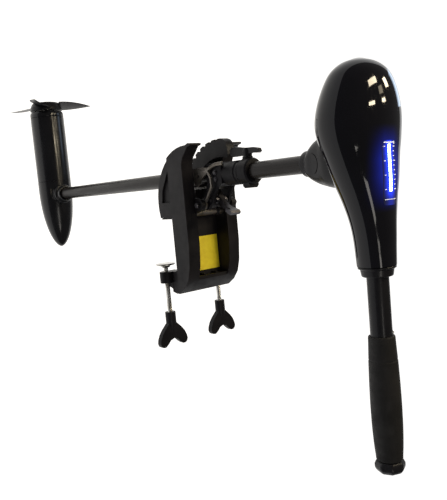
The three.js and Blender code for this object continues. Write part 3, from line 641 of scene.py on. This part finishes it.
def boss_fillet(bottom=33, steps=8):
    """The hollow curve that leads from the housing into the boss."""
    points = []
    for i in range(steps + 1):
        angle = i / steps * math.pi / 2
        points.append((BOSS_R + BOSS_FILLET_R * (1 - math.sin(angle)),
                       bottom + BOSS_FILLET_R * (1 - math.cos(angle))))
    return points


def build_nose():
    bullet = nose_profile() + [(HOUSING_R, 33.4), (HOUSING_R - 0.6, 34), (0, 34)]
    boss = rounded([(0, 20), (BOSS_R, 20), (BOSS_R, 46), (22.5, 48), (19.5, 48.5), (19.5, 60), (18, 62),
                    (15, 62), (15, 58), (0, 58)], 1.2)
    skirt = [(0, 30)] + boss_fillet() + [(0, 39)]
    nose = make("nose_skin", revolve(bullet, "y", UNIT_CENTRE, 96), revolve(boss, "z", UNIT_CENTRE, 96),
                revolve(skirt, "z", UNIT_CENTRE, 96))
    finish(nose, PAINT, "shaft", "black_paint", "nose_housing")


def build_housing():
    wall = tube_wall(HOUSING_R - 5, HOUSING_R, 34.3, 198.1, "y", UNIT_CENTRE, 96)
    finish(make("motor_tube_skin", wall), PAINT, "shaft", "black_paint", "motor_tube")
    bell = rounded([(0, 192), (36, 192), (36, 198.5), (HOUSING_R - 0.2, 198.5), (HOUSING_R, 206),
                    (40.4, 211), (37.5, 213), (12, 213), (11, 212), (0, 212)], 1.4)
    finish(make("rear_bell_skin", revolve(bell, "y", UNIT_CENTRE, 96)), PAINT, "shaft", "black_paint",
           "rear_bell", "shaft_seal")


def build_motor_inside():
    for node in ("magnet_ring", "armature"):
        refine(node, IRON, 0)
    refine("brush_holder", BRASS, 0)
    refine("commutator", COPPER, 0)
    for node in ("front_bearing", "rear_bearing", "motor_shaft", "prop_pin", "prop_washer"):
        refine(node, STEEL, 0.4)
    refine("prop_nut", SATIN, 0.8, 3)


def build_lower_unit():
    build_nose()
    build_housing()
    build_motor_inside()


def blade_rings(steps=30, sides=28):
    """Sections of one swept and twisted blade that points along +X, from root to tip."""
    rings = []
    for i in range(steps + 1):
        t = i / steps
        radius = BLADE_ROOT_R + (PROP_R - 0.4 - BLADE_ROOT_R) * t
        chord = 46 * (1 - t ** 1.6) + 5 * math.sqrt(max(0.0, 1 - t ** 6)) + 0.2
        thick = 4.6 - 3.4 * t
        pitch = math.radians(17 + 14 * t * (1 - t))
        sweep = -16 * t * t
        ring = []
        for j in range(sides):
            angle = 2 * math.pi * j / sides
            a = chord / 2 * math.cos(angle)
            b = thick / 2 * math.copysign(abs(math.sin(angle)) ** 1.4, math.sin(angle))
            ring.append((radius, PROP_Y + a * math.sin(pitch) + b * math.cos(pitch),
                         sweep + a * math.cos(pitch) - b * math.sin(pitch)))
        rings.append(ring)
    return rings


def build_propeller():
    hub = rounded([(5.4, 216), (39.2, 215.6), (40, 217), (38.6, 225), (34.5, 234.2), (31, 236.4),
                   (12.6, 236.4), (12, 235.6), (12, 228.3), (5.4, 228.3), (5.4, 216)], 1.6)
    parts = [revolve(hub, "y", UNIT_CENTRE, closed_ends=False)]
    verts, faces = lattice(blade_rings())
    for degrees in BLADE_ANGLES:
        turn = Matrix.Rotation(math.radians(-degrees), 3, "Y")
        placed = [tuple(turn @ Vector(v) + Vector(UNIT_CENTRE)) for v in verts]
        parts.append((placed, faces))
    finish(make("propeller_skin", *parts), PROP, "propeller", "prop_plastic", "propeller")


# ------------------------------------------------------------------ shaft, collar, neck


def build_shaft():
    wall = tube_wall(10.5, SHAFT_R, MOTOR_Z + 16, NECK_Z + 13.5, "z", SHAFT_AXIS)
    finish(make("main_shaft_skin", wall), COMPOSITE, "shaft", "shaft_composite", "main_shaft")
    refine("control_cable", RUBBER, 0)


def build_neck():
    bore = SHAFT_R + 0.3
    collar = rounded([(bore, NECK_Z), (18, NECK_Z), (20, NECK_Z + 2), (20, NECK_Z + 12), (18.5, NECK_Z + 14),
                      (16.8, NECK_COLLAR_TOP), (bore, NECK_COLLAR_TOP), (bore, NECK_Z)], 0.9)
    knuckle = rounded([(0, -20), (18.5, -20), (19.5, -19), (19.5, 19), (18.5, 20), (0, 20)], 0.8)
    stem = box_mesh((-14, SHAFT_Y - 16, NECK_Z + 10), (14, SHAFT_Y + 14, PIVOT_Z))
    yoke = make("neck_yoke_skin", revolve(collar, "z", SHAFT_AXIS, 64), stem,
                revolve(knuckle, "x", PIVOT, 64))
    finish(yoke, SATIN, "shaft", "black_plastic", "neck_yoke")
    refine("neck_pin", STEEL, 0.4)


def build_collar():
    refine("depth_collar", BLACK, 0.8, 3)
    refine("collar_knob", SATIN, 1.3, 3)


# ------------------------------------------------------------------ bracket, clamps, swivel


def build_bracket():
    refine("bracket_frame", BRACKET, 1.6, 3)
    refine("tilt_sector", BRACKET, 0.5, 2)
    for side in ("left", "right"):
        refine("jaw_pad_" + side, RUBBER, 0.4)
    refine("hinge_pin", DARK_STEEL, 0.5)
    refine("cross_bar", CAST, 0.4)
    refine("cross_bar_nut", DARK_STEEL, 0.6)
    refine("caution_label", LABEL, 0)


def thread(radius, depth, pitch, low, high, centre, sides=20, per_pitch=6):
    """A threaded rod along y, whose thread runs out at both ends."""
    steps = int((high - low) / pitch * per_pitch)
    rings = []
    for i in range(steps + 1):
        y = low + (high - low) * i / steps
        ease = min(1.0, (y - low) / 2, (high - y) / 2)
        ring = []
        for j in range(sides):
            phase = ((y / pitch) - j / sides) % 1.0
            crest = 1 - abs(2 * phase - 1)
            r = radius - depth * (1 - crest) - (1 - ease) * depth * crest
            angle = 2 * math.pi * j / sides
            ring.append((centre[0] + r * math.cos(angle), y, centre[2] + r * math.sin(angle)))
        rings.append(ring)
    return lattice(rings)


def build_clamp(side, x):
    """The screw, swivel foot and wing knob of one side."""
    at = (x, 0, CLAMP_Z)
    stud = thread(SCREW_R, 0.75, SCREW_PITCH, -150, -51.5, at)
    neck = rounded([(0, -52), (3.2, -52), (3.2, -48.6), (4.2, -48.4), (3.2, -46.8), (0, -46.8)], 0.4)
    screw = make("clamp_screw_skin_" + side, stud, revolve(neck, "y", at, 40), smooth=50)
    finish(screw, STEEL, "clamp_screw_" + side, "steel", "clamp_screw_" + side)
    foot = rounded([(0, -43), (17.4, -43), (18, -43.6), (18, -46), (9, -48), (7.2, -51), (4.2, -51),
                    (4.2, -49.9), (4.75, -49.9), (4.75, -46.2), (0, -46.2)], 0.5)
    pad = make("clamp_pad_skin_" + side, revolve(foot, "y", at, 64))
    finish(pad, STEEL, "clamp_pad_" + side, "steel", "clamp_pad_" + side)
    refine("clamp_knob_" + side, BLACK, 2.6, 4)


def build_clamps():
    for side, x in (("left", -CLAMP_X), ("right", CLAMP_X)):
        build_clamp(side, x)


def build_swivel():
    refine("swivel_body", BLACK, 0.9, 3)
    refine("release_lever", DARK_STEEL, 0.9, 3)
    refine("side_link", LINK_ALLOY, 0.8, 2)
    refine("lock_strap", STEEL, 0.4)
    refine("lock_bar", STEEL, 0.4)
    for node in ("lever_pin", "swivel_bolt_aft", "swivel_bolt_front"):
        refine(node, DARK_STEEL, 0.4)
    refine("lever_spring", STEEL, 0)
    for node in ("upper_bushing", "lower_bushing"):
        refine(node, RUBBER, 0.2)


# ------------------------------------------------------------------ head


def spine(t):
    """(y, half-width) on a centripetal curve through the spine's points."""
    span = (len(HEAD_SPINE) - 1) * t
    k = min(int(span), len(HEAD_SPINE) - 2)
    weight = span - k
    p1, p2 = Vector(HEAD_SPINE[k]), Vector(HEAD_SPINE[k + 1])
    p0 = Vector(HEAD_SPINE[k - 1]) if k > 0 else 2 * p1 - p2
    p3 = Vector(HEAD_SPINE[k + 2]) if k + 2 < len(HEAD_SPINE) else 2 * p2 - p1
    d0, d1, d2 = ((b - a).length ** 0.5 for a, b in ((p0, p1), (p1, p2), (p2, p3)))
    start = ((p1 - p0) / d0 - (p2 - p0) / (d0 + d1) + (p2 - p1) / d1) * d1
    end = ((p2 - p1) / d1 - (p3 - p1) / (d1 + d2) + (p3 - p2) / d2) * d1
    point = (p1 + start * weight + (3 * (p2 - p1) - 2 * start - end) * weight ** 2
             + (2 * (p1 - p2) + start + end) * weight ** 3)
    return point.x, point.y


def smoothstep(value, low, high):
    """0 below low and 1 above high, with a soft step between."""
    t = min(1.0, max(0.0, (value - low) / (high - low)))
    return t * t * (3 - 2 * t)


def flatness(y):
    """Half-height over half-width, which falls towards the crown."""
    return min(1.0, max(0.72, 0.72 + (120 - y) * 0.00175))


def middle(y):
    """Height of the head's centre line."""
    return HANDLE_Z - 15.8 * smoothstep(y, -10, 165) + 8 * smoothstep(y, 140, 246)


def squircle(half_a, half_b, power, count):
    """Points round an oval that grows squarer with its power."""
    points = []
    for i in range(count):
        c, s = math.cos(2 * math.pi * i / count), math.sin(2 * math.pi * i / count)
        points.append((half_a * math.copysign(abs(c) ** (2 / power), c),
                       half_b * math.copysign(abs(s) ** (2 / power), s)))
    return points


def head_rings(inset, steps=72, sides=96):
    """Sections of the head from tiller to crown, set in from its outside."""
    rings = []
    for i in range(steps + 1):
        y, half = spine(i / steps)
        a, b = half - inset, half * flatness(y) - inset
        if a < 1 or b < 1:
            break
        rings.append([(x, y, middle(y) + z) for x, z in squircle(a, b, HEAD_POWER, sides)])
    if inset < 1:
        rings += crown_rings(inset, sides)
    return rings


def crown_rings(inset, sides):
    """The last sections, which dome the crown past the end of the spine."""
    y, half = spine(1)
    rings = []
    for share, lift in ((0.72, 0.7), (0.4, 1.2), (0.12, 1.4)):
        ring = squircle(half * share, half * flatness(y) * share, 2, sides)
        rings.append([(x, y + lift - inset, middle(y) + z) for x, z in ring])
    return rings


def head_half(y):
    """Half-width of the head at a distance y, found by halving."""
    low, high = 0.0, 1.0
    for _ in range(40):
        mid = (low + high) / 2
        if spine(mid)[0] < y:
            low = mid
        else:
            high = mid
    return spine(low)[1]


def head_top(x, y, inset):
    """Height of the head's top surface, set in from the outside."""
    half = head_half(y)
    a, b = half - inset, half * flatness(y) - inset
    return middle(y) + b * (1 - abs(x / a) ** HEAD_POWER) ** (1 / HEAD_POWER)


def window_outline(grow):
    half_x, half_y = WINDOW_HALF
    outline = squircle(half_x + grow, half_y + grow, WINDOW_POWER, 96)
    return [(x, WINDOW_Y + y) for x, y in outline]


def patch(x_low, x_high, y_low, y_high, inset, thickness, steps=(6, 6)):
    """A thin plate that lies on the head's top surface."""
    verts, faces = [], []
    for layer in (inset, inset + thickness):
        for i in range(steps[0] + 1):
            for j in range(steps[1] + 1):
                x = x_low + (x_high - x_low) * i / steps[0]
                y = y_low + (y_high - y_low) * j / steps[1]
                verts.append((x, y, head_top(x, y, layer)))
    row = steps[1] + 1
    below = row * (steps[0] + 1)
    for i in range(steps[0]):
        for j in range(steps[1]):
            a = i * row + j
            faces.append((a, a + row, a + row + 1, a + 1))
            faces.append(tuple(v + below for v in (a + 1, a + row + 1, a + row, a)))
    rim = [i * row for i in range(steps[0])] + [steps[0] * row + j for j in range(steps[1])]
    rim += [i * row + steps[1] for i in range(steps[0], 0, -1)] + list(range(steps[1], 0, -1))
    for a, b in zip(rim, rim[1:] + rim[:1]):
        faces.append((b, a, a + below, b + below))
    return verts, faces


def build_head_cover():
    cover = make("head_cover_skin", lattice(head_rings(SKIN)))
    keep_side(cover, SEAM_NORMAL, SEAM_OFFSET + SEAM)
    shell(cover, HEAD_WALL)
    tiller_room = [(0, -60), (TILLER_R + 4, -60), (TILLER_R + 4, -20), (0, -20)]
    carve(cover, make("window_cut", prism(window_outline(0.3), "z", *WINDOW_CUT)),
          make("nose_cut", revolve(tiller_room, "y", HANDLE)))
    finish(cover, GLOSS, "head", "gloss_plastic", "head_cover")


def build_lens():
    lens = make("display_lens_skin", lattice(head_rings(LENS_INSET)))
    carve(lens, make("window_keep", prism(window_outline(0), "z", *WINDOW_CUT)), operation="INTERSECT")
    carve(lens, make("lens_under", lattice(head_rings(1.7, 40, 48))))
    finish(lens, LENS, "head", "lens", "display_lens")


def printed_mark(x_low, x_high, y_low, y_high, steps=(3, 1)):
    return patch(x_low, x_high, y_low, y_high, PRINT_INSET, PRINT_THICKNESS, steps)


def build_meter():
    """The lit bars, and the plain ticks and frame lines beside them."""
    starts = [METER_START + METER_STEP * i for i in range(METER_BARS)]
    bars = [patch(-3.3, 3.3, y, y + METER_BAR, SKIN - 0.02, 0.4) for y in starts]
    finish(make("battery_meter_skin", *bars), LED, "head", "led", "battery_meter")
    marks = [printed_mark(8.4, 11.6 if i % 3 else 13.0, y + 2.3, y + 3.3) for i, y in enumerate(starts)]
    marks += [printed_mark(-11.6, -8.6, y + 2.4, y + 3.3) for y in starts[::3]]
    marks.append(printed_mark(-12, 12, 51.6, 52.2, (12, 1)))
    marks.append(printed_mark(-11.5, 9, 127.6, 128.9, (12, 1)))
    marks.append(printed_mark(10.2, 12, 126.2, 129.8, (1, 2)))
    # The marks' ink glows a little, a painted highlight.
    finish(make("meter_marks", *marks), INK_WITH_PAINTED_GLARE, "head", "lens")


def row_between(rows, k, t):
    """The row at t between rows k and k + 1, on a curve through all the rows."""
    before = rows[max(0, k - 1)]
    after = rows[min(len(rows) - 1, k + 2)]
    result = []
    for p, a, b, n in zip(before, rows[k], rows[k + 1], after):
        bend = (2 * p - 5 * a + 4 * b - n) * t * t + (3 * a - p - 3 * b + n) * t ** 3
        result.append(0.5 * (2 * a + (b - p) * t + bend))
    return result


def neck_shroud(steps=6):
    """The skirt that hangs from the head round the neck."""
    rings = []
    for k in range(len(SHROUD) - 1):
        for step in range(steps):
            z, front, back, half = row_between(SHROUD, k, step / steps)
            outline = squircle(half, (back - front) / 2, 3.1, 96)
            rings.append([(x, (front + back) / 2 + y, z) for x, y in outline])
    return lattice(rings)


def join(thing, other):
    """Adds the other object's mesh to the first one and uses it up."""
    work = bmesh.new()
    work.from_mesh(thing.data)
    work.from_mesh(other.data)
    work.to_mesh(thing.data)
    work.free()
    bpy.data.objects.remove(other)
    soften(thing.data)


def build_head_base():
    pan = make("head_pan", lattice(head_rings(SKIN)))
    keep_side(pan, SEAM_NORMAL, SEAM_OFFSET - SEAM, above=False)
    shell(pan, HEAD_WALL)
    shroud = make("head_base_skin", neck_shroud())
    knuckle_room = [(0, -20.7), (20.2, -20.7), (20.2, 20.7), (0, 20.7)]
    carve(shroud, make("head_hollow", lattice(head_rings(2.2, 40, 48))),
          make("yoke_slot", box_mesh((-20.7, 40, 290), (20.7, 200, 327))),
          make("knuckle_room", revolve(knuckle_room, "x", PIVOT)),
          make("disc_groove", tube_wall(15, 16.5, -60, -33.9, "x", PIVOT, 64, 0.2)),
          make("disc_slot", box_mesh((-60, 104, 318), (-34.2, 121, 320.6))))
    join(shroud, pan)
    finish(shroud, SATIN, "head", "black_plastic", "head_base")


def build_head_ring():
    bore = TILLER_R + 0.4
    collar = rounded([(bore, -55), (21.6, -55), (22.4, -53.5), (24, -44.5), (27, -43.4), (27, -41.3),
                      (26, -40.3), (19.4, -40.3), (19.4, -14), (bore, -14), (bore, -55)], 0.7)
    ring_skin = make("head_ring_skin", revolve(collar, "y", HANDLE, 96))
    finish(ring_skin, SATIN, "head", "black_plastic", "head_ring")


def build_head():
    build_head_cover()
    build_lens()
    build_meter()
    build_head_base()
    build_head_ring()
    refine("control_board", BOARD, 0)
    refine("speed_switch", BLACK, 0)
    refine("cable_gland", RUBBER, 0.4)


# ------------------------------------------------------------------ tiller


def build_tiller():
    wall = tube_wall(13.2, TILLER_R, -161, 26, "y", HANDLE)
    finish(make("tiller_tube_skin", wall), SATIN, "tiller", "tiller_plastic", "tiller_tube")
    sleeve = [(0, GRIP_START), (18.4, GRIP_START), (19.2, -142.5), (19.6, -153), (20.6, -174),
              (20.1, -175.5), (20.9, -177), (21.8, -205), (22.4, -240), (22.1, -275), (20.8, -303),
              (19.5, -318), (19.2, SLEEVE_END), (0, SLEEVE_END)]
    grip = make("grip_skin", revolve(rounded(sleeve, 12, 8), "y", HANDLE, 96))
    finish(grip, GRIP, "grip", "grip_rubber", "grip")
    refine("grip_cap", SATIN, 2.2, 4)
    refine("throttle_rod", CAST, 0.3)
    refine("snap_button", STEEL, 0.3)


# ------------------------------------------------------------------ stage, light and camera


def area_light(name, place, target, size, energy, colour):
    """A rectangular lamp whose first side lies square to the y axis."""
    lamp = bpy.data.lights.new(name, "AREA")
    lamp.shape = "RECTANGLE"
    lamp.size, lamp.size_y = size
    lamp.energy = energy
    lamp.color = colour
    forward = (Vector(target) - Vector(place)).normalized()
    wide = forward.cross(Vector((0, 1, 0))).normalized()
    tall = wide.cross(forward)
    thing = bpy.data.objects.new(name, lamp)
    turn = Matrix((wide, tall, -forward)).transposed()
    thing.matrix_world = Matrix.Translation(place) @ turn.to_4x4()
    bpy.context.scene.collection.objects.link(thing)


def build_floor():
    """A wide pale slab below the part, which glows a little."""
    top = (cad_box[0][2] - FLOOR_DROP) / MM
    half = FLOOR_HALF / MM
    floor = make("floor", box_mesh((-half, -half, top - FLOOR_THICKNESS / MM), (half, half, top)))
    look = Look("pale_floor")
    look.set(
        Base_Color=look.colours(look.noise(2, 2), (0.3, (0.90, 0.90, 0.90)), (0.7, (0.92, 0.92, 0.92))),
        Roughness=0.9,
        Emission_Color=(1, 1, 1, 1),
        Emission_Strength=FLOOR_GLOW,
    )
    floor.data.materials.append(look.material)


def build_stage():
    build_floor()
    world = bpy.data.worlds.new("studio")
    world.use_nodes = True
    background = world.node_tree.nodes["Background"]
    background.inputs["Color"].default_value = (1, 1, 1, 1)
    background.inputs["Strength"].default_value = WORLD_LIGHT
    bpy.context.scene.world = world
    for lamp in LAMPS:
        area_light(*lamp)
    bpy.context.scene.view_settings.view_transform = "Standard"


def build_camera():
    forward = Vector(CAMERA_FORWARD).normalized()
    up = Vector(CAMERA_UP)
    up = (up - forward * up.dot(forward)).normalized()
    right = forward.cross(up)
    camera = bpy.data.cameras.new("camera")
    camera.sensor_width = SENSOR_WIDTH
    camera.lens = FOCAL_LENGTH
    camera.clip_start = 0.05
    thing = bpy.data.objects.new("camera", camera)
    turn = Matrix((right, up, -forward)).transposed()
    thing.matrix_world = Matrix.Translation(CAMERA_PLACE) @ turn.to_4x4()
    bpy.context.scene.collection.objects.link(thing)
    bpy.context.scene.camera = thing


build_camera()
build_lower_unit()
build_propeller()
build_shaft()
build_neck()
build_collar()
build_bracket()
build_clamps()
build_swivel()
build_head()
build_tiller()
build_stage()
